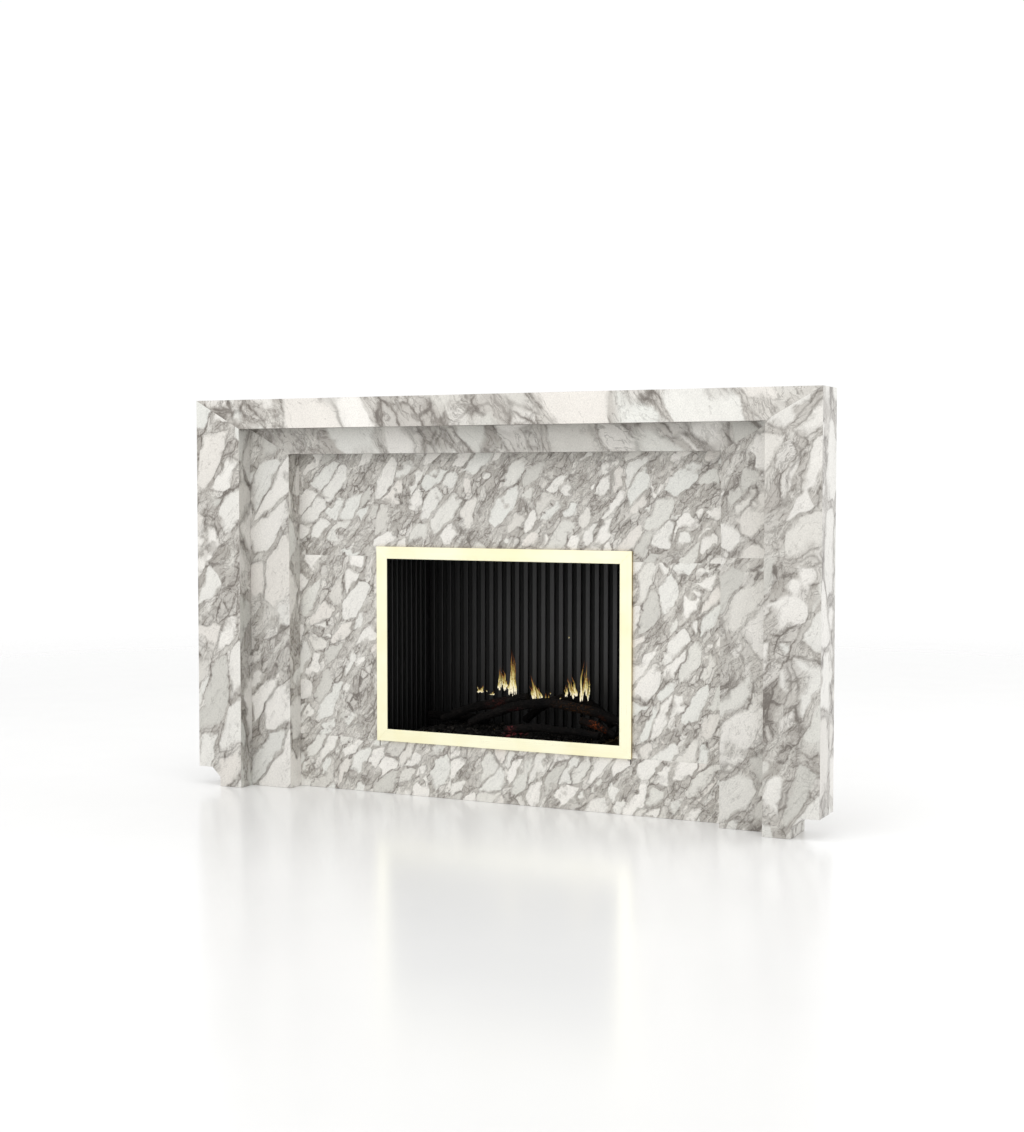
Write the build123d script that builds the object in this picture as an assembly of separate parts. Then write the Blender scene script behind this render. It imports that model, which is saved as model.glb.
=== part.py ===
from build123d import *
import os

# A full-size marble fireplace surround round an inset log-effect gas fire.
# Lengths are in millimetres. While a piece is being made, x = 0 is the middle,
# y = 0 is the front of the outer frame and z = 0 is the floor; +Y runs back
# towards the wall. save() then moves the y origin to the middle of the depth.

# ---- Stone surround ---------------------------------------------------------
OVERALL_WIDTH = 1900.0
OVERALL_HEIGHT = 1144.0
SLAB = 20.0                  # thickness of every slab in the two stepped frames
OUTER_JAMB_WIDTH = 150.0
OUTER_LINTEL_HEIGHT = 85.0
OUTER_STEP = 58.0            # outer face to inner face
INNER_JAMB_WIDTH = 135.0
INNER_LINTEL_HEIGHT = 74.0
INNER_STEP = 57.0            # inner face to facing
FACING_SLAB = 12.0
INNER_JOINT_HEIGHT = 708.0   # joint across the right inner jamb
FACING_JOINT_X = -160.0      # joint between the two bottom facing slabs

# ---- Foot notch at each outer bottom corner ---------------------------------
NOTCH_WIDTH = 75.0
NOTCH_HEIGHT = 55.0
NOTCH_CHAMFER = 28.0

# ---- Opening cut in the facing ----------------------------------------------
CUT_HALF_WIDTH = 391.0
CUT_BOTTOM = 156.0
CUT_TOP = 689.0
KERF = 3.0                   # saw over-cut below each lower corner
KERF_DEPTH = 19.0

# ---- Timber and board behind the stone --------------------------------------
INNER_STUD = 45.0
BOARD = 12.0

# ---- Steel wall brackets ----------------------------------------------------
BRACKET_LEG = 44.0
BRACKET_SHEET = 4.0
BRACKET_LENGTH = 60.0
BRACKET_HEIGHTS = (300.0, 900.0)
FIXING_HOLE_RADIUS = 4.5
BRACKET_HOLE_OUT = 25.0      # from the stud to the hole

# ---- Brass trim frame -------------------------------------------------------
TRIM_WIDTH = 795.0
TRIM_BOTTOM = 154.0
TRIM_TOP = 718.0
TRIM_BAR = 35.0
TRIM_PROUD = 9.0
TRIM_SHEET = 3.0
MAGNET_RADIUS = 5.0
MAGNET_THICKNESS = 3.0
MAGNET_SIDE_HEIGHTS = (260.0, 612.0)
MAGNET_BAR_X = 250.0

# ---- Steel firebox and reeded liners ----------------------------------------
SHEET = 2.0
BOX_CLEARANCE = 2.0          # firebox to the cut edge of the stone
FLANGE_WIDTH = 28.0
LIP_CLEARANCE = 0.5          # flange to the inside of the trim's lip
FIREBOX_DEPTH = 294.0        # facing front to the back of the shell
LINER_BASE = 3.0
REED_HEIGHT = 8.0
REED_WIDTH = 15.0
REED_CHAMFER = 1.5
REED_PITCH = 28.6

# ---- Burner, fuel bed and logs ----------------------------------------------
TRAY_HALF_WIDTH = 290.0
TRAY_FRONT = 140.0
TRAY_BACK = 370.0
TRAY_HEIGHT = 20.0
TRAY_WALL = 3.0
TRAY_FLOOR = 6.0
BED_PROUD = 4.0
LOGS = {
    "log_back_left": ((-352, 335, 202), (-250, 330, 207), (-140, 322, 203), 16),
    "log_back_right": ((-25, 322, 204), (112, 320, 280), (262, 318, 210), 16),
    "log_long_left": ((-272, 266, 203), (-158, 270, 245), (12, 276, 280), 16),
    "log_arch": ((-158, 224, 202), (133, 228, 275), (322, 222, 232), 15),
    "log_right": ((208, 192, 238), (266, 191, 223), (318, 190, 199), 12),
    "log_front": ((-10, 163, 200), (132, 161, 211), (280, 165, 200), 14),
}

# ---- Gas valve --------------------------------------------------------------
VALVE_X = 330.0              # axis of the spindle and knob
VALVE_GAP = 1.0              # board to the front of the valve
VALVE_LENGTH = 96.0
VALVE_HEIGHT = 58.0
VALVE_CORNER = 5.0
VALVE_SIDE = 28.0            # spindle to the valve's right side
SPINDLE_INSET = 14.0         # valve's front to the spindle
OUTLET_WALL = 14.0           # outlet to the valve's left side
OUTLET_INSET = 15.0          # tray's right side to the outlet
OUTLET_SETBACK = 48.0        # tray's front to the outlet
SPINDLE_RADIUS = 4.0
SPINDLE_CLEARANCE = 0.3
SPINDLE_DEPTH = 14.0
FLOOR_CLEARANCE = 1.2        # spindle to its hole in the firebox floor
KNOB_RADIUS = 14.0
KNOB_HEIGHT = 11.0
KNOB_GAP = 1.5
GRIP_WIDTH = 5.0
GRIP_HEIGHT = 5.0
GAS_PIPE_RADIUS = 4.05       # inlet for an 8 mm pipe
GAS_INLET_DEPTH = 18.0
GAS_INLET_INSET = 24.0       # valve's left side to the inlet

# ---- Flue spigot and stands -------------------------------------------------
FLUE_RADIUS = 62.5
FLUE_HEIGHT = 60.0
FLUE_COLLAR = 18.0           # width of the ring that sits on the firebox
STAND_X = 340.0
STAND_Y = 345.0
STAND_TUBE = 40.0
STAND_PLATE = 90.0
STAND_PLATE_THICKNESS = 5.0
STAND_HOLE_OFFSET = 32.0

# ---- Worked out from the sizes above ----------------------------------------
OUT_X = OVERALL_WIDTH / 2
OUT_Z = OVERALL_HEIGHT
MID_X = OUT_X - OUTER_JAMB_WIDTH
MID_Z = OUT_Z - OUTER_LINTEL_HEIGHT
IN_X = MID_X - INNER_JAMB_WIDTH
IN_Z = MID_Z - INNER_LINTEL_HEIGHT
FACING_Y = OUTER_STEP + INNER_STEP
WALL_Y = FACING_Y + FACING_SLAB
BOARD_BACK = WALL_Y + BOARD
FACING_X = IN_X + SLAB
FACING_Z = IN_Z + SLAB
STUD_X = MID_X + SLAB
STUD_OUT = OUT_X - NOTCH_WIDTH - SLAB     # the stud fills the foot between its slabs

TRIM_X = TRIM_WIDTH / 2
TRIM_FRONT = FACING_Y - TRIM_PROUD
TRIM_BACK = TRIM_FRONT + TRIM_SHEET
FLANGE_FRONT = TRIM_BACK + MAGNET_THICKNESS
FLANGE_BACK = FLANGE_FRONT + SHEET
FLANGE_X = TRIM_X - TRIM_SHEET - LIP_CLEARANCE
FLANGE_BOTTOM = TRIM_BOTTOM + TRIM_SHEET + LIP_CLEARANCE
FLANGE_TOP = TRIM_TOP - TRIM_SHEET - LIP_CLEARANCE

SHELL_X = CUT_HALF_WIDTH - BOX_CLEARANCE
SHELL_BOTTOM = CUT_BOTTOM + BOX_CLEARANCE
SHELL_TOP = CUT_TOP - BOX_CLEARANCE
SHELL_BACK = FACING_Y + FIREBOX_DEPTH
LINER = LINER_BASE + REED_HEIGHT
LINER_X = SHELL_X - SHEET
LINER_BOTTOM = SHELL_BOTTOM + SHEET
LINER_TOP = SHELL_TOP - SHEET
LINER_BACK = SHELL_BACK - SHEET
HEARTH = LINER_BOTTOM
FLUE_Y = (FLANGE_BACK + LINER_BACK) / 2
VALVE_FRONT = BOARD_BACK + VALVE_GAP
VALVE_Y = VALVE_FRONT + SPINDLE_INSET
DEPTH = SHELL_BACK


# ---- Helpers ----------------------------------------------------------------
def block(x0, x1, y0, y1, z0, z1):
    """A box between two corners."""
    middle = Pos((x0 + x1) / 2, (y0 + y1) / 2, (z0 + z1) / 2)
    return middle * Box(x1 - x0, y1 - y0, z1 - z0)


def prism(points, direction, length):
    """A closed outline pushed a length along a direction."""
    return extrude(make_face(Polyline(*points, close=True)), amount=length, dir=direction)


def along_x(outline, x0, x1):
    """A (y, z) outline pushed from x0 to x1."""
    return prism([(x0, y, z) for y, z in outline], (1, 0, 0), x1 - x0)


def along_y(outline, y0, y1):
    """An (x, z) outline pushed from y0 to y1."""
    return prism([(x, y0, z) for x, z in outline], (0, 1, 0), y1 - y0)


def along_z(outline, z0, z1):
    """An (x, y) outline pushed from z0 to z1."""
    return prism([(x, y, z0) for x, y in outline], (0, 0, 1), z1 - z0)


def post(x, y, z0, z1, radius):
    """An upright cylinder."""
    return Pos(x, y, (z0 + z1) / 2) * Cylinder(radius, z1 - z0)


def save(name, *solids):
    """Write one node, moved so that y = 0 is the middle of the depth."""
    moved = [Pos(0, -DEPTH / 2, 0) * solid for solid in solids]
    whole = moved[0] if len(moved) == 1 else Compound(children=moved)
    export_step(whole, f"parts/{name}.step")


def save_pair(name, right):
    """Write a right-hand piece and its mirror image."""
    save(f"{name}_right", right)
    save(f"{name}_left", mirror(right, about=Plane.YZ))


# ---- Stone slabs ------------------------------------------------------------
def outer_jamb_face():
    """Right jamb face: mitred on all its long edges and notched at the foot."""
    flat = NOTCH_WIDTH - NOTCH_CHAMFER
    outline = [(MID_X, 0), (OUT_X - NOTCH_WIDTH, 0),
               (OUT_X - NOTCH_WIDTH, NOTCH_HEIGHT - NOTCH_CHAMFER),
               (OUT_X - flat, NOTCH_HEIGHT), (OUT_X, NOTCH_HEIGHT),
               (OUT_X, OUT_Z), (MID_X, MID_Z)]
    plan = [(MID_X, 0), (OUT_X, 0), (OUT_X - SLAB, SLAB), (MID_X + SLAB, SLAB)]
    side = [(0, 0), (0, OUT_Z), (SLAB, OUT_Z - SLAB), (SLAB, 0)]
    front = along_y(outline, 0, SLAB)
    return front & along_z(plan, 0, OUT_Z) & along_x(side, 0, OUT_X)


def outer_lintel_face():
    outline = [(-OUT_X, OUT_Z), (OUT_X, OUT_Z), (MID_X, MID_Z), (-MID_X, MID_Z)]
    side = [(0, MID_Z), (0, OUT_Z), (SLAB, OUT_Z - SLAB), (SLAB, MID_Z + SLAB)]
    plan = [(-OUT_X, 0), (OUT_X, 0), (OUT_X - SLAB, SLAB), (SLAB - OUT_X, SLAB)]
    front = along_y(outline, 0, SLAB)
    return front & along_x(side, -OUT_X, OUT_X) & along_z(plan, MID_Z, OUT_Z)


def outer_return():
    """Right-hand side slab, from the front mitre back to the wall."""
    plan = [(OUT_X, 0), (OUT_X, WALL_Y), (OUT_X - SLAB, WALL_Y), (OUT_X - SLAB, SLAB)]
    front = [(OUT_X - SLAB, NOTCH_HEIGHT), (OUT_X, NOTCH_HEIGHT),
             (OUT_X, OUT_Z), (OUT_X - SLAB, OUT_Z - SLAB)]
    return along_z(plan, NOTCH_HEIGHT, OUT_Z) & along_y(front, 0, WALL_Y)


def outer_top():
    side = [(0, OUT_Z), (WALL_Y, OUT_Z), (WALL_Y, OUT_Z - SLAB), (SLAB, OUT_Z - SLAB)]
    front = [(-OUT_X, OUT_Z), (OUT_X, OUT_Z), (OUT_X - SLAB, OUT_Z - SLAB), (SLAB - OUT_X, OUT_Z - SLAB)]
    return along_x(side, -OUT_X, OUT_X) & along_y(front, 0, WALL_Y)


def foot_return():
    """Block that lines the right foot notch, behind the jamb face."""
    root_half = SLAB * (2 ** 0.5 - 1)
    foot = OUT_X - NOTCH_WIDTH
    flat = OUT_X - NOTCH_WIDTH + NOTCH_CHAMFER
    knee = NOTCH_HEIGHT - NOTCH_CHAMFER
    outline = [(foot, 0), (foot, knee), (flat, NOTCH_HEIGHT), (OUT_X - SLAB, NOTCH_HEIGHT),
               (OUT_X - SLAB, NOTCH_HEIGHT + SLAB), (flat - root_half, NOTCH_HEIGHT + SLAB),
               (foot - SLAB, knee + root_half), (foot - SLAB, 0)]
    return along_y(outline, SLAB, WALL_Y)


def reveal(x, z, front, back):
    """Right-hand slab inside a frame, facing the middle."""
    plan = [(x, front), (x, back), (x + SLAB, back), (x + SLAB, front + SLAB)]
    face = [(x, 0), (x + SLAB, 0), (x + SLAB, z + SLAB), (x, z)]
    return along_z(plan, 0, z + SLAB) & along_y(face, front, back)


def soffit(x, z, front, back):
    """Slab under a frame's lintel."""
    side = [(front, z), (back, z), (back, z + SLAB), (front + SLAB, z + SLAB)]
    face = [(-x, z), (x, z), (x + SLAB, z + SLAB), (-x - SLAB, z + SLAB)]
    return along_x(side, -x - SLAB, x + SLAB) & along_y(face, front, back)


def inner_mitre_height():
    """Height of the inner mitre where it meets the hidden edge of the slabs."""
    return MID_Z + SLAB * INNER_LINTEL_HEIGHT / INNER_JAMB_WIDTH


def inner_jamb_face():
    outline = [(IN_X, 0), (STUD_X, 0), (STUD_X, inner_mitre_height()), (IN_X, IN_Z)]
    back = OUTER_STEP + SLAB
    plan = [(IN_X, OUTER_STEP), (STUD_X, OUTER_STEP), (STUD_X, back), (IN_X + SLAB, back)]
    return along_y(outline, OUTER_STEP, back) & along_z(plan, 0, OUT_Z)


def inner_lintel_face():
    mitre = inner_mitre_height()
    top = MID_Z + SLAB
    outline = [(-STUD_X, mitre), (-STUD_X, top), (STUD_X, top), (STUD_X, mitre),
               (IN_X, IN_Z), (-IN_X, IN_Z)]
    back = OUTER_STEP + SLAB
    side = [(OUTER_STEP, IN_Z), (OUTER_STEP, top), (back, top), (back, IN_Z + SLAB)]
    return along_y(outline, OUTER_STEP, back) & along_x(side, -STUD_X, STUD_X)


def facing(x0, x1, z0, z1):
    return block(x0, x1, FACING_Y, WALL_Y, z0, z1)


def bottom_facing(x0, x1, side):
    """A bottom slab with its saw over-cut; side is -1 or 1."""
    near, far = sorted((side * CUT_HALF_WIDTH, side * (CUT_HALF_WIDTH + KERF)))
    kerf = facing(near, far, CUT_BOTTOM - KERF_DEPTH, CUT_BOTTOM)
    return facing(x0, x1, 0, CUT_BOTTOM) - kerf


def save_stone():
    save_pair("outer_jamb_face", outer_jamb_face())
    save_pair("outer_return", outer_return())
    save_pair("outer_reveal", reveal(MID_X, MID_Z, 0, OUTER_STEP))
    save_pair("foot_return", foot_return())
    save("outer_lintel_face", outer_lintel_face())
    save("outer_lintel_top", outer_top())
    save("outer_lintel_soffit", soffit(MID_X, MID_Z, 0, OUTER_STEP))

    jamb = inner_jamb_face()
    below_joint = block(0, OUT_X, 0, WALL_Y, 0, INNER_JOINT_HEIGHT)
    save("inner_jamb_face_left", mirror(jamb, about=Plane.YZ))
    save("inner_jamb_face_right_lower", jamb & below_joint)
    save("inner_jamb_face_right_upper", jamb - below_joint)
    save_pair("inner_reveal", reveal(IN_X, IN_Z, OUTER_STEP, FACING_Y))
    save("inner_lintel_face", inner_lintel_face())
    save("inner_lintel_soffit", soffit(IN_X, IN_Z, OUTER_STEP, FACING_Y))

    save("facing_top", facing(-FACING_X, FACING_X, CUT_TOP, FACING_Z))
    save_pair("facing", facing(CUT_HALF_WIDTH, FACING_X, CUT_BOTTOM, CUT_TOP))
    save("facing_bottom_left", bottom_facing(-FACING_X, FACING_JOINT_X, -1))
    save("facing_bottom_right", bottom_facing(FACING_JOINT_X, FACING_X, 1))


# ---- Timber, board and wall brackets ----------------------------------------
def board(x0, x1, z0, z1):
    return block(x0, x1, WALL_Y, BOARD_BACK, z0, z1)


def wall_bracket(z):
    """Steel angle on the outside of the right stud, drilled for a wall screw."""
    low = z - BRACKET_LENGTH / 2
    high = z + BRACKET_LENGTH / 2
    on_stud = block(STUD_OUT, STUD_OUT + BRACKET_SHEET, WALL_Y - BRACKET_LEG, WALL_Y, low, high)
    on_wall = block(STUD_OUT, STUD_OUT + BRACKET_LEG, WALL_Y - BRACKET_SHEET, WALL_Y, low, high)
    hole = Pos(STUD_OUT + BRACKET_HOLE_OUT, WALL_Y, z) * Rot(90, 0, 0) * Cylinder(FIXING_HOLE_RADIUS, BRACKET_LEG)
    return on_stud + on_wall - hole


def save_backing():
    header_bottom = MID_Z + SLAB
    header_top = OUT_Z - SLAB
    save_pair("outer_stud", block(STUD_X, STUD_OUT, SLAB, WALL_Y, 0, header_bottom))
    save("outer_header", block(-STUD_OUT, STUD_OUT, SLAB, WALL_Y, header_bottom, header_top))
    stud_middle = (FACING_X + STUD_X) / 2
    inner = block(stud_middle - INNER_STUD / 2, stud_middle + INNER_STUD / 2,
                  OUTER_STEP + SLAB, WALL_Y, 0, FACING_Z)
    save_pair("inner_stud", inner)

    save("backer_top", board(-STUD_OUT, STUD_OUT, CUT_TOP, header_top))
    save("backer_bottom", board(-STUD_OUT, STUD_OUT, 0, CUT_BOTTOM))
    save_pair("backer", board(CUT_HALF_WIDTH, STUD_OUT, CUT_BOTTOM, CUT_TOP))

    right = [wall_bracket(z) for z in BRACKET_HEIGHTS]
    left = [mirror(bracket, about=Plane.YZ) for bracket in right]
    save("wall_brackets", *right, *left)


# ---- Brass trim frame -------------------------------------------------------
def trim_bar_side():
    """Right-hand bar: folded brass, a flat face with a lip back to the stone."""
    outline = [(TRIM_X, TRIM_BOTTOM), (TRIM_X, TRIM_TOP),
               (TRIM_X - TRIM_BAR, TRIM_TOP - TRIM_BAR), (TRIM_X - TRIM_BAR, TRIM_BOTTOM + TRIM_BAR)]
    plan = [(TRIM_X - TRIM_BAR, TRIM_FRONT), (TRIM_X, TRIM_FRONT), (TRIM_X, FACING_Y),
            (TRIM_X - TRIM_SHEET, FACING_Y), (TRIM_X - TRIM_SHEET, TRIM_BACK),
            (TRIM_X - TRIM_BAR, TRIM_BACK)]
    return along_y(outline, TRIM_FRONT, FACING_Y) & along_z(plan, TRIM_BOTTOM, TRIM_TOP)


def trim_bar_level(edge, inward):
    """Top or bottom bar; edge is its outer height and inward is -1 or 1."""
    inner = edge + inward * TRIM_BAR
    lip = edge + inward * TRIM_SHEET
    outline = [(-TRIM_X, edge), (TRIM_X, edge), (TRIM_X - TRIM_BAR, inner), (TRIM_BAR - TRIM_X, inner)]
    side = [(TRIM_FRONT, inner), (TRIM_FRONT, edge), (FACING_Y, edge),
            (FACING_Y, lip), (TRIM_BACK, lip), (TRIM_BACK, inner)]
    return along_y(outline, TRIM_FRONT, FACING_Y) & along_x(side, -TRIM_X, TRIM_X)


def trim_magnets():
    """Round magnets on the back of the bars."""
    inset = TRIM_BAR / 2
    places = [(side * (TRIM_X - inset), z) for side in (-1, 1) for z in MAGNET_SIDE_HEIGHTS]
    places += [(side * MAGNET_BAR_X, z) for side in (-1, 1)
               for z in (TRIM_BOTTOM + inset, TRIM_TOP - inset)]
    middle = (TRIM_BACK + FLANGE_FRONT) / 2
    return [Pos(x, middle, z) * Rot(90, 0, 0) * Cylinder(MAGNET_RADIUS, MAGNET_THICKNESS)
            for x, z in places]


def save_trim():
    save_pair("trim", trim_bar_side())
    save("trim_top", trim_bar_level(TRIM_TOP, -1))
    save("trim_bottom", trim_bar_level(TRIM_BOTTOM, 1))
    save("trim_magnets", *trim_magnets())


# ---- Firebox ----------------------------------------------------------------
def mouth_flange():
    """Ring of sheet steel round the mouth, which the trim's magnets hold to."""
    whole = block(-FLANGE_X, FLANGE_X, FLANGE_FRONT, FLANGE_BACK, FLANGE_BOTTOM, FLANGE_TOP)
    mouth = block(FLANGE_WIDTH - FLANGE_X, FLANGE_X - FLANGE_WIDTH, FLANGE_FRONT, FLANGE_BACK,
                  FLANGE_BOTTOM + FLANGE_WIDTH, FLANGE_TOP - FLANGE_WIDTH)
    return whole - mouth


def firebox_floor():
    """Floor sheet, with holes for the valve's spindle and its gas outlet."""
    floor = block(-SHELL_X, SHELL_X, FLANGE_BACK, SHELL_BACK, SHELL_BOTTOM, HEARTH)
    spindle = post(VALVE_X, VALVE_Y, SHELL_BOTTOM, HEARTH, SPINDLE_RADIUS + FLOOR_CLEARANCE)
    outlet_x, outlet_y = gas_outlet()
    outlet = post(outlet_x, outlet_y, SHELL_BOTTOM, HEARTH, GAS_PIPE_RADIUS + SPINDLE_CLEARANCE)
    return floor - spindle - outlet


def firebox_top():
    sheet = block(-SHELL_X, SHELL_X, FLANGE_BACK, SHELL_BACK, LINER_TOP, SHELL_TOP)
    return sheet - post(0, FLUE_Y, LINER_TOP, SHELL_TOP, FLUE_RADIUS - SHEET)


def reeded_panel(plane, width):
    """Liner slab with a row of upright reeds on its plane's +Y side."""
    reed = Pos(0, LINER - REED_HEIGHT / 2) * Rectangle(REED_WIDTH, REED_HEIGHT)
    reed = chamfer(reed.vertices().group_by(Axis.Y)[-1], REED_CHAMFER)
    count = int(width / REED_PITCH)
    outline = Pos(0, LINER_BASE / 2) * Rectangle(width, LINER_BASE)
    for index in range(count):
        along = (index - (count - 1) / 2) * REED_PITCH
        outline += Pos(along, 0) * reed
    return extrude(plane * outline, amount=LINER_TOP - LINER_BOTTOM)


def save_firebox():
    save("mouth_flange", mouth_flange())
    save("firebox_floor", firebox_floor())
    save("firebox_top", firebox_top())
    save("firebox_back", block(-SHELL_X, SHELL_X, LINER_BACK, SHELL_BACK, LINER_BOTTOM, LINER_TOP))
    save_pair("firebox_side",
              block(LINER_X, SHELL_X, FLANGE_BACK, LINER_BACK, LINER_BOTTOM, LINER_TOP))
    facing_front = Plane(origin=(0, LINER_BACK, LINER_BOTTOM), x_dir=(-1, 0, 0), z_dir=(0, 0, 1))
    save("liner_back", reeded_panel(facing_front, 2 * LINER_X))
    side_length = LINER_BACK - LINER - FLANGE_BACK
    facing_left = Plane(origin=(LINER_X, FLANGE_BACK + side_length / 2, LINER_BOTTOM),
                        x_dir=(0, 1, 0), z_dir=(0, 0, 1))
    save_pair("liner", reeded_panel(facing_left, side_length))


# ---- Burner, fuel bed and logs ----------------------------------------------
def burner_tray():
    pan = block(-TRAY_HALF_WIDTH, TRAY_HALF_WIDTH, TRAY_FRONT, TRAY_BACK, HEARTH, HEARTH + TRAY_HEIGHT)
    pocket = block(TRAY_WALL - TRAY_HALF_WIDTH, TRAY_HALF_WIDTH - TRAY_WALL,
                   TRAY_FRONT + TRAY_WALL, TRAY_BACK - TRAY_WALL,
                   HEARTH + TRAY_FLOOR, HEARTH + TRAY_HEIGHT)
    return pan - pocket


def ember_bed():
    return block(TRAY_WALL - TRAY_HALF_WIDTH, TRAY_HALF_WIDTH - TRAY_WALL,
                 TRAY_FRONT + TRAY_WALL, TRAY_BACK - TRAY_WALL,
                 HEARTH + TRAY_FLOOR, HEARTH + TRAY_HEIGHT + BED_PROUD)


def log(start, crest, end, radius):
    """A round ceramic log along an arc through three points."""
    path = ThreePointArc(start, crest, end)
    section = Plane(origin=path @ 0, z_dir=path % 0) * Circle(radius)
    return sweep(section, path=path)


def save_fire():
    save("burner_tray", burner_tray())
    save("ember_bed", ember_bed())
    for name, (start, crest, end, radius) in LOGS.items():
        save(name, log(start, crest, end, radius))


# ---- Gas valve --------------------------------------------------------------
def gas_outlet():
    """Where gas leaves the valve: inside the corner of the burner tray."""
    return TRAY_HALF_WIDTH - OUTLET_INSET, TRAY_FRONT + OUTLET_SETBACK


def gas_valve():
    """Valve block under the firebox floor, its outlet rising through the floor."""
    outlet_x, outlet_y = gas_outlet()
    left = outlet_x - OUTLET_WALL
    back = VALVE_FRONT + VALVE_LENGTH
    low = SHELL_BOTTOM - VALVE_HEIGHT
    body = block(left, VALVE_X + VALVE_SIDE, VALVE_FRONT, back, low, SHELL_BOTTOM)
    body = fillet(body.edges().filter_by(Axis.Z), VALVE_CORNER)
    body += post(outlet_x, outlet_y, SHELL_BOTTOM, HEARTH, GAS_PIPE_RADIUS)
    bore = SPINDLE_RADIUS + SPINDLE_CLEARANCE
    body -= post(VALVE_X, VALVE_Y, SHELL_BOTTOM - SPINDLE_DEPTH, SHELL_BOTTOM, bore)
    inlet = Pos(left + GAS_INLET_INSET, back - GAS_INLET_DEPTH / 2, low + VALVE_HEIGHT / 2)
    body -= inlet * Rot(90, 0, 0) * Cylinder(GAS_PIPE_RADIUS, GAS_INLET_DEPTH)
    return body


def valve_knob():
    """Knob, grip and spindle in one moulding, clear of the floor and the bore."""
    low = HEARTH + KNOB_GAP
    high = low + KNOB_HEIGHT
    knob = post(VALVE_X, VALVE_Y, low, high, KNOB_RADIUS)
    knob += block(VALVE_X - GRIP_WIDTH / 2, VALVE_X + GRIP_WIDTH / 2,
                  VALVE_Y - KNOB_RADIUS + 2, VALVE_Y + KNOB_RADIUS - 2, high, high + GRIP_HEIGHT)
    foot = SHELL_BOTTOM - SPINDLE_DEPTH + SPINDLE_CLEARANCE
    return knob + post(VALVE_X, VALVE_Y, foot, low, SPINDLE_RADIUS)


# ---- Flue spigot and stands -------------------------------------------------
def flue_spigot():
    tube = post(0, FLUE_Y, SHELL_TOP, SHELL_TOP + FLUE_HEIGHT, FLUE_RADIUS)
    collar = post(0, FLUE_Y, SHELL_TOP, SHELL_TOP + SHEET, FLUE_RADIUS + FLUE_COLLAR)
    return tube + collar - post(0, FLUE_Y, SHELL_TOP, SHELL_TOP + FLUE_HEIGHT, FLUE_RADIUS - SHEET)


def stand():
    """Right rear leg: square tube on a floor plate with two anchor holes."""
    half = STAND_TUBE / 2
    plate_half = STAND_PLATE / 2
    tube = block(STAND_X - half, STAND_X + half, STAND_Y - half, STAND_Y + half,
                 STAND_PLATE_THICKNESS, SHELL_BOTTOM)
    plate = block(STAND_X - plate_half, STAND_X + plate_half, STAND_Y - plate_half,
                  STAND_Y + plate_half, 0, STAND_PLATE_THICKNESS)
    for side in (-1, 1):
        hole_y = STAND_Y + side * STAND_HOLE_OFFSET
        plate -= post(STAND_X, hole_y, 0, STAND_PLATE_THICKNESS, FIXING_HOLE_RADIUS)
    return tube + plate


def save_services():
    save("gas_valve", gas_valve())
    save("valve_knob", valve_knob())
    save("flue_spigot", flue_spigot())
    save_pair("stand", stand())


def main():
    os.makedirs("parts", exist_ok=True)
    save_stone()
    save_backing()
    save_trim()
    save_firebox()
    save_fire()
    save_services()


main()
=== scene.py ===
import math
import random

import bmesh
import bpy
import numpy as np
from bpy.props import FloatProperty, FloatVectorProperty, PointerProperty
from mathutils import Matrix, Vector, noise


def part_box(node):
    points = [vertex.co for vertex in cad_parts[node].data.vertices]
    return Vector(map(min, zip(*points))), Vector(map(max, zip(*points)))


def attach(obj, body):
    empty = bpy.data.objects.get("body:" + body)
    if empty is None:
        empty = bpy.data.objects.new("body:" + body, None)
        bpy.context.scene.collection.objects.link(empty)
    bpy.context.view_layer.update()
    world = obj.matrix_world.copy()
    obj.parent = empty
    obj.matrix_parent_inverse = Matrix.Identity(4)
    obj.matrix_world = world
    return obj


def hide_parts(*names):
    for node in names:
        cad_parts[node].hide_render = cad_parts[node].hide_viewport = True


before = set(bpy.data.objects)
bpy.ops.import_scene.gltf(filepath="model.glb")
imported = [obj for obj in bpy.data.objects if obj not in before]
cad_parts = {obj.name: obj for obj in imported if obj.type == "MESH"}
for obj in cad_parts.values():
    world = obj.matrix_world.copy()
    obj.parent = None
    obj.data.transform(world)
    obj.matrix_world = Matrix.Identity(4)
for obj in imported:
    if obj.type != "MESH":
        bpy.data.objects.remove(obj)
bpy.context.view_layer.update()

bl_info = {
    "name": "Marble fire surround",
    "version": (1, 0, 0),
    "blender": (4, 5, 0),
    "location": "3D View > Sidebar > Fire surround",
    "description": "Finishes the pieces of a marble fire surround with an inset gas fire",
    "category": "Object",
}

# The frame's own y is measured from the middle of the depth; the sizes here are
# measured back from the front of the outer frame, and FRONT turns one into the other.
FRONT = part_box("outer_jamb_face_left")[0].y


def at(x, y, z):
    """A place in metres from millimetres, y measured back from the front of the outer frame."""
    return Vector((x / 1000, y / 1000 + FRONT, z / 1000))


def shade(red, green, blue):
    """A colour in the shader's own scale from its 0 to 255 screen values."""
    return tuple(((v / 255 + 0.055) / 1.055) ** 2.4 if v > 10 else v / 255 / 12.92
                 for v in (red, green, blue)) + (1.0,)


def tones(*stops):
    """The stops of a colour ramp, each given as its place and three screen values."""
    return tuple((place, shade(*screen)) for place, *screen in stops)


def put(tree, kind, settings, sockets):
    """Adds a node to a tree: its settings first, then the values or links of its sockets."""
    node = tree.nodes.new(kind)
    for key, value in (settings or {}).items():
        if key == "stops":
            elements = node.color_ramp.elements
            while len(elements) < len(value):
                elements.new(1.0)
            for element, (position, colour) in zip(elements, value):
                element.position, element.color = position, colour
        else:
            setattr(node, key, value)
    for key, value in (sockets or {}).items():
        if isinstance(value, bpy.types.NodeSocket):
            tree.links.new(value, node.inputs[key])
        else:
            node.inputs[key].default_value = value
    return node


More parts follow.
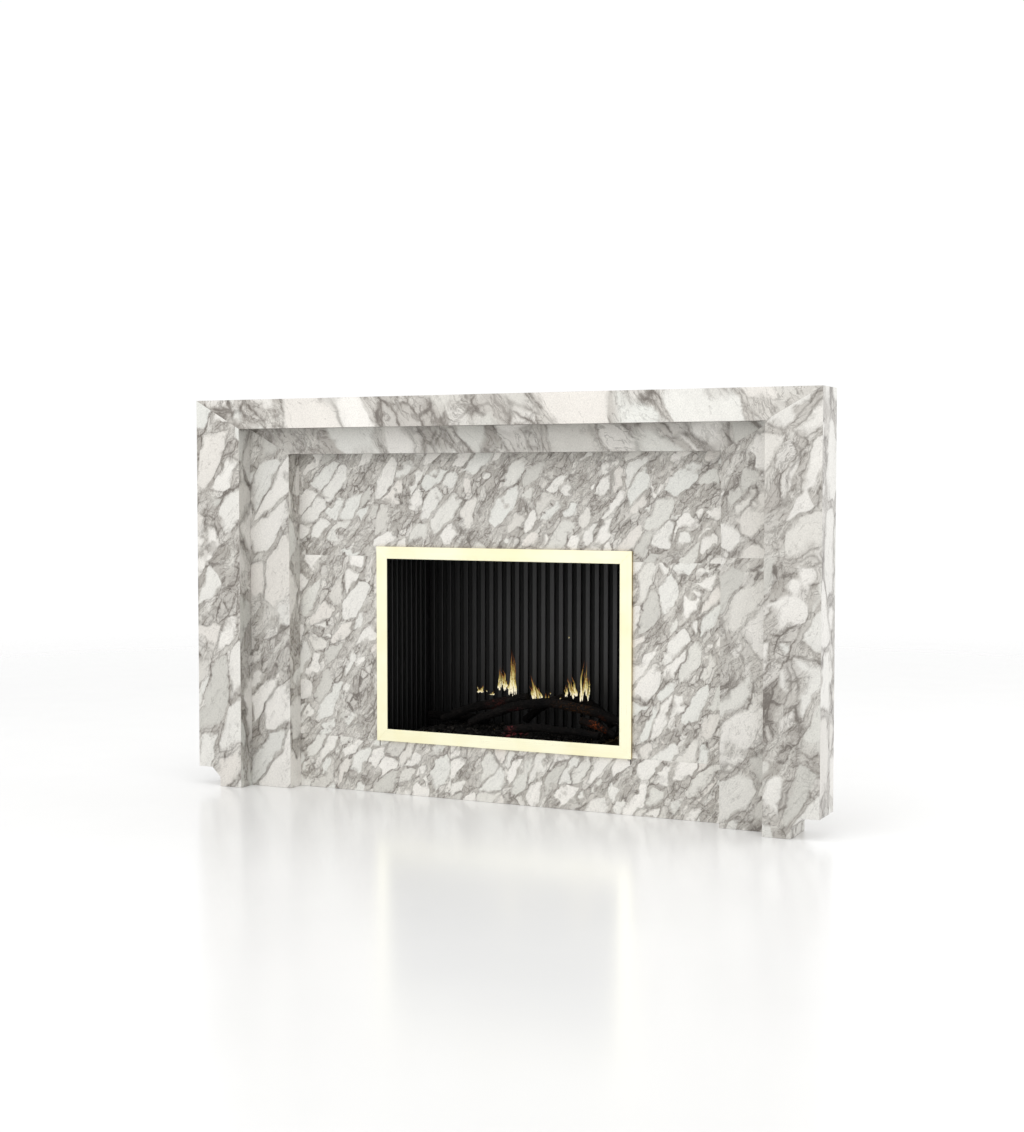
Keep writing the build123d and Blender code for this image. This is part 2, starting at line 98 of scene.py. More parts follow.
def placed(name, data):
    """A new object of the scene."""
    piece = bpy.data.objects.new(name, data)
    bpy.context.scene.collection.objects.link(piece)
    return piece


# ---- Shader maths ----

class Channel:
    """A node's output. Arithmetic on it adds Math nodes to the finish it belongs to."""

    def __init__(self, finish, socket):
        self.finish, self.socket = finish, socket

    def out(self, name):
        return Channel(self.finish, self.socket.node.outputs[name])

    def math(self, operation, *terms):
        return self.finish.add("ShaderNodeMath", {"operation": operation}, dict(enumerate(terms)))

    def __add__(self, other):
        return self.math("ADD", self, other)

    def __sub__(self, other):
        return self.math("SUBTRACT", self, other)

    def __rsub__(self, other):
        return self.math("SUBTRACT", other, self)

    def __mul__(self, other):
        return self.math("MULTIPLY", self, other)

    def __truediv__(self, other):
        return self.math("DIVIDE", self, other)

    def __pow__(self, other):
        return self.math("POWER", self, other)

    def __abs__(self):
        return self.math("ABSOLUTE", self)

    def least(self, other):
        return self.math("MINIMUM", self, other)

    def most(self, other):
        return self.math("MAXIMUM", self, other)

    __radd__ = __add__
    __rmul__ = __mul__


class Finish:
    """One procedural material."""

    def __init__(self, name):
        self.material = bpy.data.materials.new(name)
        self.material.use_nodes = True
        self.tree = self.material.node_tree
        self.tree.nodes.clear()

    def add(self, kind, settings=None, sockets=None, out=0):
        """Adds a node and gives one of its outputs."""
        node = put(self.tree, kind, settings, {
            key: value.socket if isinstance(value, Channel) else value
            for key, value in (sockets or {}).items()})
        return Channel(self, node.outputs[out])

    def grain(self, turn=(0, 0, 0), offset=(0, 0, 0), size=(1, 1, 1)):
        """The piece's own coordinates, moved, turned and divided by a size."""
        spot = self.add("ShaderNodeTexCoord", out="Object")
        return self.add("ShaderNodeMapping", {"vector_type": "TEXTURE"},
                        {"Vector": spot, "Location": offset, "Rotation": turn, "Scale": size})

    def cloud(self, place, scale, detail=3.0, rough=0.5, twist=0.0):
        return self.add("ShaderNodeTexNoise", None,
                        {"Vector": place, "Scale": scale, "Detail": detail,
                         "Roughness": rough, "Distortion": twist})

    def cells(self, place, scale, feature="F1", out="Color"):
        return self.add("ShaderNodeTexVoronoi", {"feature": feature},
                        {"Vector": place, "Scale": scale}, out)

    def vector(self, operation, *terms, out=0):
        return self.add("ShaderNodeVectorMath", {"operation": operation}, dict(enumerate(terms)), out)

    def warp(self, place, scale, reach, detail=2.0):
        """Pushes a place about by up to half the reach each way."""
        push = self.vector("SUBTRACT", self.cloud(place, scale, detail).out("Color"), (0.5, 0.5, 0.5))
        return self.vector("ADD", place, self.vector("MULTIPLY", push, (reach, reach, reach)))

    def step(self, value, low, high, bottom=0.0, top=1.0):
        """A soft step from bottom to top as value goes from low to high."""
        return self.add("ShaderNodeMapRange", {"interpolation_type": "SMOOTHSTEP"},
                        {"Value": value, "From Min": low, "From Max": high,
                         "To Min": bottom, "To Max": top})

    def ramp(self, value, stops):
        return self.add("ShaderNodeValToRGB", {"stops": stops}, {"Fac": value})

    def mix(self, amount, first, second):
        return self.add("ShaderNodeMix", {"data_type": "RGBA"}, {0: amount, 6: first, 7: second}, 2)

    def parts(self, colour):
        """A colour split into numbers, red first."""
        return self.add("ShaderNodeSeparateColor", None, {0: colour})

    def axis(self, place, name):
        """One of a place's three numbers: X, Y or Z."""
        return self.add("ShaderNodeSeparateXYZ", None, {0: place}, name)

    def painted(self, name):
        """A number kept on the mesh."""
        return self.add("ShaderNodeAttribute", {"attribute_name": name}, out="Fac")

    def dimmed(self, colour, amount):
        """A colour made lighter or darker by a number."""
        return self.add("ShaderNodeVectorMath", {"operation": "SCALE"}, {0: colour, "Scale": amount})

    def bump(self, height, depth, strength=1.0):
        return self.add("ShaderNodeBump", None,
                        {"Height": height, "Distance": depth, "Strength": strength})

    def surface(self, **sockets):
        """The shader itself and the material's output."""
        shader = self.add("ShaderNodeBsdfPrincipled", None,
                          {key.replace("_", " "): value for key, value in sockets.items()})
        put(self.tree, "ShaderNodeOutputMaterial", None, {"Surface": shader.socket})
        return self.material


# ---- Finishes ----

PEBBLES = tones((0.00, 241, 238, 232), (0.26, 234, 231, 225), (0.44, 226, 226, 220),
                (0.58, 237, 234, 228), (0.72, 220, 219, 212), (0.84, 231, 226, 219),
                (0.94, 208, 206, 199))
CHIPS = tones((0.00, 226, 223, 217), (0.28, 202, 198, 191), (0.48, 184, 179, 172),
              (0.64, 214, 211, 205), (0.80, 170, 165, 157), (0.92, 230, 227, 221))


def marble(name, lean, width, length, offset, loose=0.22, tone=1.0, roughness=0.24):
    """Breccia marble: pale pebbles of the given width and length, leaning from upright by an angle,
    in a grey ground of chips and wisps. loose is the share of pebbles that are missing."""
    look = bpy.context.scene.surround_marble
    dark = look.vein[:] + (1,)
    f = Finish(name)
    spot = f.grain(turn=(math.radians(8), lean, math.radians(11)), offset=offset)
    swept = f.warp(spot, 0.5 / length, 1.3 * width, 2.0)
    bent = f.warp(swept, 1.1 / width, 0.62 * width, 6.0)
    big = f.vector("DIVIDE", bent, (width, width * 1.3, length))
    small = f.vector("DIVIDE", f.warp(swept, 40.0, 0.020, 4.0),
                     (width * 0.36, width * 0.42, length * 0.36))
    flow = f.vector("DIVIDE", bent, (width * 0.5, width * 0.5, length * 1.1))
    mottle = f.cloud(spot, 85.0, 4.0, 0.65)
    fleck = f.cloud(spot, 280.0, 2.0, 0.8)
    streak = f.cloud(flow, 1.0, 6.0, 0.62, 0.6)
    patch = f.cloud(swept, 0.36 / width, 3.0)
    # ground: wisps from dark to pale grey, with chips in it
    ground = f.ramp(streak * 0.72 + mottle * 0.28,
                    ((0.34, look.ground_dark[:] + (1,)), (0.45, look.ground[:] + (1,)),
                     (0.58, look.ground_light[:] + (1,))))
    chip = f.parts(f.cells(small, 1.0))
    chip_edge = f.cells(small, 1.0, "DISTANCE_TO_EDGE", "Distance")
    chip_gap = f.step(patch, 0.46, 0.72, 0.0, 0.18)
    inside = f.step(chip_edge - chip_gap, 0.0, 0.16) * f.step(chip.out("Green"), 0.10, 0.30)
    base = f.mix(inside * 0.8, ground, f.ramp(chip, CHIPS))
    seam = (1 - f.step(abs(chip_edge - chip_gap * 0.8), 0.0, 0.075)) * f.step(streak, 0.62, 0.36)
    base = f.mix(seam * 0.8, base, dark)
    # large pebbles over it, their corners rounded
    split = f.parts(f.cells(big, 1.0))
    edge = f.cells(big, 1.0, "DISTANCE_TO_EDGE", "Distance")
    away = f.cells(big, 1.0, out="Distance")
    gap = f.step(patch, 0.50, 0.72, 0.0, 1.0) * look.vein_width * 10.0 + split.out("Blue") ** 3.0 * 0.08
    body = edge - gap - (away - 0.55).most(0.0) * 0.20
    present = f.step(split.out("Green") + (0.5 - patch) * 2.2, loose, loose + 0.05)
    blur = f.step(f.cloud(swept, 1.7 / width, 2.0), 0.40, 0.66, 0.055, 0.20)
    cover = f.step(body / blur, 0.0, 1.0) * present
    large = f.ramp(split, PEBBLES)
    large = f.dimmed(large, (0.86 + streak * 0.20 + f.step(body, 0.0, 0.22) * 0.05))
    colour = f.mix(cover, base, large)
    # dark line round the large pebbles, coming and going
    coming = f.step(f.cloud(swept, 0.9 / width, 4.0), 0.38, 0.60)
    rim = (1 - f.step(abs(body - 0.004), 0.0, 0.030)) * coming * 0.46
    colour = f.mix(rim, colour, dark)
    # threads that flow round and through everything
    thread = abs(f.cloud(flow, 0.50, 5.0, 0.62, 1.3) - 0.5)
    wisp = abs(f.cloud(flow, 1.5, 4.0, 0.60, 1.6) - 0.5)
    hair = (1 - f.step(thread, 0.0, 0.016)) * f.step(mottle, 0.36, 0.58) * (1 - cover * 0.55)
    hair = hair.most((1 - f.step(wisp, 0.0, 0.030)) * (1 - cover) * 0.8)
    colour = f.mix(hair * 0.62, colour, dark)
    # tone lightens or darkens a whole slab; the low tones of the soffits and the left outer reveal are
    # painted shade
    colour = f.dimmed(colour, (0.70 + fleck * 0.54) * tone)
    return f.surface(Base_Color=colour, Roughness=roughness + (mottle - 0.5) * 0.12 + rim * 0.14,
                     IOR=1.5, Normal=f.bump(fleck * 0.15 - rim, 0.0003, 0.35))


def brass(name, along_x):
    """Satin brass, brushed along the bar, its sides behind the front face coloured olive-brown as a
    painted reflection of the darker stone.
    """
    look = bpy.context.scene.surround_trim
    f = Finish(name)
    size = (0.9, 0.004, 0.004) if along_x else (0.004, 0.004, 0.9)
    brushed = f.cloud(f.grain(size=size), 1.0, 5.0, 0.65)
    patch = f.cloud(f.grain(), 7.0, 3.0)
    colour = f.mix(f.step(patch, 0.35, 0.70), look.colour[:] + (1,), look.worn_colour[:] + (1,))
    # painted reflection: behind its front face the brass turns olive-brown, as if reflecting the stone
    back = f.axis(f.grain(), "Y")
    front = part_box("trim_left")[0].y
    colour = f.mix(f.step(back, front + 0.0006, front + 0.0024), colour, look.side_reflection_colour[:] + (1,))
    colour = f.dimmed(colour, 0.94 + brushed * 0.12)
    return f.surface(Base_Color=colour, Metallic=1.0,
                     Roughness=look.roughness + (brushed - 0.5) * 0.12 + (patch - 0.5) * 0.08,
                     Normal=f.bump(brushed, 0.00008, 0.4))


def timber(name, along):
    """Sawn softwood, its grain along one axis: 0 for x, 2 for z."""
    f = Finish(name)
    size = [0.05, 0.05, 0.05]
    size[along] = 0.9
    spot = f.grain(size=tuple(size), offset=(0.013, 0.021, 0.034))
    ring = f.add("ShaderNodeTexWave", {"wave_type": "RINGS", "rings_direction": "XYZ"[along]},
                 {"Vector": spot, "Scale": 1.9, "Distortion": 3.2, "Detail": 3.0, "Detail Scale": 1.4})
    fine = [0.0022, 0.0022, 0.0022]
    fine[along] = 0.12
    fibre = f.cloud(f.grain(size=tuple(fine)), 1.0, 4.0, 0.6)
    colour = f.ramp(ring * 0.75 + fibre * 0.3,
                    tones((0.05, 214, 178, 128), (0.55, 196, 153, 101), (0.95, 158, 110, 66)))
    return f.surface(Base_Color=f.dimmed(colour, 0.85 + fibre * 0.3), Roughness=0.62 + fibre * 0.2,
                     Normal=f.bump(fibre + ring * 0.4, 0.0006, 0.6))


def board(name):
    """Mineral fire board: pale, chalky, with short fibres and pits, with painted shade in the pits."""
    f = Finish(name)
    spot = f.grain()
    chalk = f.cloud(spot, 28.0, 5.0, 0.6)
    fibre = f.cloud(f.grain(size=(0.02, 0.02, 0.003), turn=(0.3, 0.9, 0.2)), 1.0, 3.0)
    pit_and_painted_shade = f.step(f.cells(spot, 190.0, out="Distance"), 0.10, 0.24)
    colour = f.ramp(chalk * 0.7 + fibre * 0.3, tones((0.25, 196, 189, 172), (0.75, 228, 223, 209)))
    # painted shade: the pits are coloured darker
    return f.surface(Base_Color=f.mix(pit_and_painted_shade, shade(150, 143, 128), colour),
                     Roughness=0.80 + chalk * 0.15, Normal=f.bump(pit_and_painted_shade + chalk * 0.5, 0.0005, 0.6))


def zinc(name, flake=0.011, tone=1.0):
    """Galvanised steel with its frosty crystals."""
    f = Finish(name)
    spot = f.warp(f.grain(), 40.0, 0.006)
    crystal = f.parts(f.cells(spot, 1 / flake))
    cloudy = f.cloud(spot, 12.0, 4.0)
    colour = f.ramp(crystal * 0.6 + cloudy * 0.4,
                    tones((0.2, 134, 140, 146), (0.5, 168, 173, 177), (0.85, 203, 206, 208)))
    return f.surface(Base_Color=f.dimmed(colour, tone), Metallic=0.9,
                     Roughness=0.32 + crystal.out("Green") * 0.22,
                     Normal=f.bump(crystal.out("Blue"), 0.00006, 0.5))


def black_steel(name, colour=(30, 29, 28), sheen=0.46):
    """Heat-proof black paint on sheet steel: faint orange peel, dust and rubbed spots."""
    f = Finish(name)
    spot = f.grain()
    peel = f.cloud(spot, 900.0, 2.0)
    dust = f.cloud(spot, 9.0, 5.0, 0.6)
    rub = f.step(f.cloud(spot, 26.0, 4.0, 0.7), 0.60, 0.74)
    tone = f.mix(f.step(dust, 0.35, 0.8), shade(*colour), shade(*(min(255, c * 1.7) for c in colour)))
    tone = f.mix(rub * 0.35, tone, shade(92, 88, 83))
    return f.surface(Base_Color=tone, Roughness=sheen + dust * 0.2 - rub * 0.1,
                     Normal=f.bump(peel, 0.0001, 0.4))


def ribbed_lining(name, axis, groove, crest):
    """The reeded lining: black enamel rubbed grey on the reeds, made brighter to the right as painted
    light and darker towards the bottom, with the grooves near black as enamel, soot and painted shade.
    axis, groove and crest say which way the reeds stand out, and from where to where."""
    f = Finish(name)
    spot = f.grain()
    split = f.axis(spot, axis)
    out = f.step(split, groove, crest)
    soot = f.cloud(spot, 6.0, 5.0, 0.65)
    speck = f.cloud(spot, 130.0, 3.0)
    wear = f.cloud(f.grain(size=(0.01, 0.01, 0.25)), 1.0, 4.0)
    rubbed = f.mix(f.step(soot, 0.3, 0.75), shade(44, 44, 44), shade(30, 30, 29))
    # painted light: the reeds are dark on the left and brighter towards the right
    across = f.axis(spot, "X")
    height = f.axis(spot, "Z")
    # darker towards the bottom
    darker_low_down = f.step(height + (soot - 0.5) * 0.12, 0.22, 0.36, 0.30, 1.0)
    rubbed = f.dimmed(rubbed, (0.8 + wear * 0.4) * f.step(across, -0.42, 0.22, 0.30, 1.15) * darker_low_down)
    # the grooves are near black: dark enamel and soot, deepened as painted shade
    colour = f.mix(out, shade(8, 8, 8), rubbed)
    return f.surface(Base_Color=colour, Roughness=0.86 - out * 0.40 + (speck - 0.5) * 0.1, IOR=1.45,
                     Normal=f.bump(speck, 0.0002, 0.4))


def magnet(name):
    """Nickel-plated magnet."""
    f = Finish(name)
    haze = f.cloud(f.grain(), 300.0, 4.0)
    return f.surface(Base_Color=f.ramp(haze, tones((0.2, 168, 166, 160), (0.8, 205, 203, 197))),
                     Metallic=1.0, Roughness=0.16 + haze * 0.16)


def cast_alloy(name):
    """Cast and tumbled alloy."""
    f = Finish(name)
    spot = f.grain()
    pore = f.cloud(spot, 600.0, 3.0)
    cast = f.cloud(spot, 35.0, 4.0)
    return f.surface(Base_Color=f.ramp(cast, tones((0.25, 140, 139, 135), (0.8, 180, 178, 172))),
                     Metallic=0.85, Roughness=0.42 + pore * 0.2, Normal=f.bump(pore, 0.0002, 0.6))


def moulded(name):
    """Black heat-proof plastic with a fine spark-eroded skin and a pale pointer line."""
    f = Finish(name)
    skin = f.cloud(f.grain(), 1500.0, 2.0)
    wipe = f.cloud(f.grain(), 40.0, 4.0)
    colour = f.mix(wipe, shade(24, 24, 25), shade(42, 42, 43))
    low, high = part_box("valve_knob")
    middle = ((low.x + high.x) / 2, (low.y + high.y) / 2, 0.0)
    spot = f.grain(offset=middle)
    across = abs(f.axis(spot, "X"))
    along = f.axis(spot, "Y")
    pointer = f.step(across, 0.0013, 0.0010) * f.step(along, 0.0045, 0.0050)
    return f.surface(Base_Color=f.mix(pointer * 0.9, colour, shade(205, 203, 198)),
                     Roughness=0.42 + wipe * 0.15, Normal=f.bump(skin, 0.0001, 0.6))


def burner_steel(name):
    """Stainless burner tray, straw and blue where the heat has been."""
    f = Finish(name)
    spot = f.grain()
    heat = f.cloud(spot, 9.0, 5.0, 0.6)
    fine = f.cloud(spot, 240.0, 3.0)
    colour = f.ramp(heat, tones((0.25, 120, 112, 104), (0.45, 150, 128, 92),
                                (0.58, 104, 98, 112), (0.8, 78, 74, 72)))
    return f.surface(Base_Color=colour, Metallic=0.8, Roughness=0.40 + fine * 0.2,
                     Normal=f.bump(fine, 0.0001, 0.4))


# ---- Fixing finishes to the frame's nodes ----

# widths taken off the sharp edges of differently made pieces, in metres
SAWN, CAST, FOLDED, MOULDED, PRESSED, SHEET, THIN = (
    0.0015, 0.0010, 0.0008, 0.0006, 0.0005, 0.0004, 0.0003)


def dress(node, material, edge=0.0, angle=35.0, segments=2):
    """Gives a frame node its finish and, where edge isn't 0, takes its sharp edges off."""
    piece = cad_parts[node]
    piece.data.materials.clear()
    piece.data.materials.append(material)
    if edge:
        weld = piece.modifiers.new("weld", "WELD")
        weld.merge_threshold = 0.00002
        bevel = piece.modifiers.new("edges", "BEVEL")
        bevel.width = edge
        bevel.segments = segments
        bevel.limit_method = "ANGLE"
        bevel.angle_limit = math.radians(angle)
        bevel.harden_normals = True


def mesh_piece(name, points, faces, material, smooth=True):
    """A new piece at the origin, its place in its mesh."""
    data = bpy.data.meshes.new(name)
    data.from_pydata([tuple(p) for p in points], [], faces)
    data.materials.append(material)
    data.shade_smooth() if smooth else data.shade_flat()
    data.validate()
    return placed(name, data)


def outward(piece):
    """Points a closed mesh's faces outwards."""
    shape = bmesh.new()
    shape.from_mesh(piece.data)
    bmesh.ops.recalc_face_normals(shape, faces=shape.faces[:])
    shape.to_mesh(piece.data)
    shape.free()


# ---- Geometry trees ----

def geometry_tree(name, inputs):
    """A new tree with named inputs. Returns a function that adds a node to it and gives the node's
    outputs, a function that ends the tree, and its inputs."""
    tree = bpy.data.node_groups.new(name, "GeometryNodeTree")
    tree.interface.new_socket("Geometry", in_out="OUTPUT", socket_type="NodeSocketGeometry")
    for key, kind in inputs.items():
        tree.interface.new_socket(key, in_out="INPUT", socket_type="NodeSocket" + kind)

    def add(kind, settings=None, **sockets):
        return put(tree, kind, settings, {
            int(key[1:]) if key[0] == "_" else key.replace("_", " "): value
            for key, value in sockets.items()}).outputs

    def end(instances, material):
        solid = add("GeometryNodeRealizeInstances", Geometry=instances)
        done = add("GeometryNodeSetMaterial", Geometry=solid[0], Material=material)
        put(tree, "NodeGroupOutput", None, {0: done[0]})
        return tree

    return add, end, tree.nodes.new("NodeGroupInput").outputs


def head_tree(material):
    """A round head with a round recess on every place of a mesh, all facing one way."""
    add, end, given = geometry_tree("fixing_heads", {
        "Geometry": "Geometry", "Radius": "Float", "Height": "Float", "Recess": "Float",
        "Turn": "Vector"})
    disc = add("GeometryNodeMeshCylinder", Vertices=14, Radius=given["Radius"], Depth=given["Height"])
    rim = add("GeometryNodeExtrudeMesh", Mesh=disc["Mesh"], Selection=disc["Top"],
              Offset_Scale=0.0)
    inner = add("GeometryNodeScaleElements", Geometry=rim["Mesh"], Selection=rim["Top"],
                Scale=given["Recess"])
    deep = add("ShaderNodeMath", {"operation": "MULTIPLY"}, _0=given["Height"], _1=-0.6)
    sunk = add("GeometryNodeExtrudeMesh", Mesh=inner[0], Selection=rim["Top"],
               Offset_Scale=deep[0])
    spread = add("GeometryNodeInstanceOnPoints", Points=given["Geometry"],
                 Instance=sunk["Mesh"], Rotation=given["Turn"])
    return end(spread[0], material)


def grown(name, tree, values, places=()):
    """Runs a geometry tree with its inputs set, on a mesh of loose places where it needs them,
    and returns the result as a plain piece."""
    carrier = placed(name + "_carrier", bpy.data.meshes.new(name + "_carrier"))
    carrier.data.from_pydata([tuple(place) for place in places], [], [])
    modifier = carrier.modifiers.new("grow", "NODES")
    modifier.node_group = tree
    keys = {item.name: item.identifier for item in tree.interface.items_tree if item.in_out == "INPUT"}
    for key, value in values.items():
        modifier[keys[key]] = value
    data = bpy.data.meshes.new_from_object(carrier.evaluated_get(bpy.context.evaluated_depsgraph_get()))
    data.name = name
    bpy.data.objects.remove(carrier)
    if not data.polygons:
        raise RuntimeError(name + ": its geometry tree made nothing")
    return placed(name, data)


# how a head that points up is turned to face each way
FACES = {"+X": (0.0, math.pi / 2, 0.0), "-X": (0.0, -math.pi / 2, 0.0),
         "+Y": (-math.pi / 2, 0.0, 0.0), "+Z": (0.0, 0.0, 0.0)}


# width of a head's recess against the head's own
SCREW_RECESS, RIVET_RECESS = 0.55, 0.45
# a bracket screw's radius and height against a board screw's
BRACKET_SCREW = (1.2, 2.4)


def heads(name, tree, places, faces, radius, height, recess=SCREW_RECESS):
    """Rows of screw or rivet heads that ride with the surround."""
    piece = grown(name, tree, {"Radius": radius, "Height": height, "Recess": recess,
                               "Turn": FACES[faces]}, places)
    outward(piece)
    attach(piece, "surround")


def spaced(low, high, pitch, margin):
    """Even places from low to high, kept a margin in from both and no further apart than pitch."""
    count = max(2, math.ceil((high - low - 2 * margin) / pitch) + 1)
    return [low + margin + (high - low - 2 * margin) * i / (count - 1) for i in range(count)]


# ---- Sizes and colours that a user would change ----

def amount(name, description, default, least=0.0, **more):
    return FloatProperty(name=name, description=description, default=default, min=least, **more)


def length(name, description, default, least=0.0):
    return amount(name, description, default, least, unit="LENGTH")


def tint(name, description, colour):
    return FloatVectorProperty(name=name, description=description, default=colour, min=0, max=1,
                               subtype="COLOR")


class MarbleLook(bpy.types.PropertyGroup):
    pebble_width: length("Pebble width", "Width of a large pebble in the frames", 0.062, 0.005)
    pebble_length: length("Pebble length", "Length of a large pebble in the frames", 0.130, 0.005)
    facing_width: length("Facing pebble width", "Width of a pebble in the facing", 0.042, 0.005)
    facing_length: length("Facing pebble length", "Length of a pebble in the facing", 0.100, 0.005)
    vein_width: length("Vein width", "Widest gap between large pebbles", 0.011, 0.0)
    vein: tint("Vein colour", "Colour of the dark lines", shade(102, 95, 88)[:3])
    ground: tint("Ground colour", "Colour between the pebbles", shade(178, 173, 166)[:3])
    ground_dark: tint("Dark ground colour", "Darkest colour between the pebbles",
                      shade(142, 136, 129)[:3])
    ground_light: tint("Light ground colour", "Palest colour between the pebbles",
                       shade(214, 211, 204)[:3])
    arris: length("Edge", "Width taken off the slabs' sharp edges", 0.0006, 0.0)


class TrimLook(bpy.types.PropertyGroup):
    colour: tint("Brass colour", "Colour of the clean brass", (1.0, 0.975, 0.73))
    worn_colour: tint("Worn colour", "Colour of the rubbed brass", (0.97, 0.92, 0.62))
    # painted reflection: the olive-brown of the brass's sides, as if reflecting the darker stone
    side_reflection_colour: tint("Side colour", "Colour of the brass behind its front face",
                      (0.56, 0.42, 0.17))
    roughness: amount("Roughness", "How matt the brass is", 0.30, 0.05, max=1.0, subtype="FACTOR")


class FireLook(bpy.types.PropertyGroup):
    reed_share: amount("Reed share", "Share of the lining's thickness that is reed", 0.72, 0.1,
                       max=1.0, subtype="FACTOR")
    ember_count: amount("Ember density", "Embers to a square metre of the burner", 8500.0, 100.0)
    ember_size: length("Ember size", "Middle size of an ember", 0.0085, 0.002)
    flame_strength: amount("Flame strength", "How brightly the flames shine", 1.15)
    glow_strength: amount("Glow strength", "How brightly logs and embers glow", 0.34)


class FixingLook(bpy.types.PropertyGroup):
    screw_pitch: length("Screw pitch", "Widest gap between the fire boards' screws", 0.160, 0.02)
    margin: length("Screw margin", "From a board's edge to its first screw", 0.030, 0.005)
    screw_radius: length("Screw head radius", "Radius of a board screw's head", 0.0042, 0.001)
    screw_height: length("Screw head height", "How far a board screw's head stands out",
                         0.0016, 0.0002)
    bracket_length: length("Bracket length", "Height of one wall bracket", 0.060, 0.02)
    bracket_sheet: length("Bracket thickness", "Thickness of a wall bracket", 0.004, 0.001)
    rivet_pitch: length("Rivet pitch", "Widest gap between the firebox's rivets", 0.085, 0.01)
    rivet_inset: length("Rivet inset", "From an edge of the firebox to its rivets", 0.012, 0.003)
    rivet_radius: length("Rivet radius", "Radius of a rivet's head", 0.0032, 0.001)
    rivet_height: length("Rivet height", "How far a rivet's head stands out", 0.0018, 0.0002)


class StageLook(bpy.types.PropertyGroup):
    backdrop: amount("Backdrop", "Brightness of the white backdrop", 1.02)
    ambient: amount("Ambient", "Soft light from all round", 0.86)
    key: amount("Key light", "Power of the large front light", 48.0, unit="POWER")
    top: amount("Top light", "Power of the light overhead", 42.0, unit="POWER")
    side: amount("Side light", "Power of the light from the right", 40.0, unit="POWER")
    lens: amount("Lens", "Focal length", 54.63, 1.0, unit="CAMERA")


# ---- Stage ----

# each light's place, what it points at and its diameter, in metres
LIGHTS = {"key": ((-1.3, -4.9, 3.4), (0.0, 0.0, 0.55), 4.4),
          "top": ((0.4, -1.2, 4.6), (0.2, 0.0, 0.4), 2.6),
          "side": ((4.0, 1.7, 2.0), (0.95, 0.0, 0.5), 2.2)}
CAMERA_PLACE = (2.1292, -4.3901, 0.9064)
CAMERA_TURN = (math.pi / 2 - 0.04937, 0.0, 0.4532)
FLOOR_HALF = 60.0
FLOOR_DROP = 0.0004            # keeps the floor clear of the feet
FLOOR_FADE = (7.0, 2.6)        # distances at which the floor is clear and solid


class SURROUND_OT_stage(bpy.types.Operator):
    """Adds the pale floor, the soft studio light and the camera"""
    bl_idname = "surround.stage"
    bl_label = "Stage"

    def execute(self, context):
        look = context.scene.surround_stage
        context.scene.view_settings.view_transform = "Standard"
        self.floor()
        self.backdrop(look)
        for name, (place, aim, size) in LIGHTS.items():
            self.light(name + "_light", place, aim, size, getattr(look, name))
        self.camera(look)
        return {"FINISHED"}

    def floor(self):
        f = Finish("satin_floor")
        spot = f.grain()
        haze = f.cloud(spot, 3.0, 4.0)
        away = f.vector("LENGTH", spot, out="Value")
        f.surface(Base_Color=f.mix(haze, (0.905, 0.905, 0.90, 1), (0.935, 0.935, 0.93, 1)),
                  Roughness=0.17 + haze * 0.04, IOR=1.5, Alpha=f.step(away, *FLOOR_FADE))
        corners = [(x * FLOOR_HALF, y * FLOOR_HALF, -FLOOR_DROP)
                   for x, y in ((-1, -1), (1, -1), (1, 1), (-1, 1))]
        mesh_piece("floor", corners, [(0, 1, 2, 3)], f.material, smooth=False)

    def backdrop(self, look):
        world = bpy.data.worlds.new("soft_white")
        bpy.context.scene.world = world
        world.use_nodes = True
        tree = world.node_tree
        tree.nodes.clear()
        ray = tree.nodes.new("ShaderNodeLightPath").outputs
        seen = put(tree, "ShaderNodeMath", {"operation": "MAXIMUM"},
                   {0: ray["Is Camera Ray"], 1: ray["Is Glossy Ray"]})
        level = put(tree, "ShaderNodeMapRange", None,
                    {"To Min": look.ambient, "To Max": look.backdrop, "Value": seen.outputs[0]})
        back = put(tree, "ShaderNodeBackground", None,
                   {"Color": (1.0, 1.0, 1.0, 1.0), "Strength": level.outputs[0]})
        put(tree, "ShaderNodeOutputWorld", None, {"Surface": back.outputs[0]})

    def light(self, name, place, aim, size, power):
        data = bpy.data.lights.new(name, "AREA")
        data.shape, data.size, data.energy = "DISK", size, power
        lamp = placed(name, data)
        lamp.location = place
        lamp.rotation_euler = (Vector(aim) - Vector(place)).to_track_quat("-Z", "Y").to_euler()

    def camera(self, look):
        data = bpy.data.cameras.new("camera")
        data.lens = look.lens
        data.clip_end = 500.0
        camera = placed("camera", data)
        camera.location = CAMERA_PLACE
        camera.rotation_euler = CAMERA_TURN
        bpy.context.scene.camera = camera


# ---- Stone ----

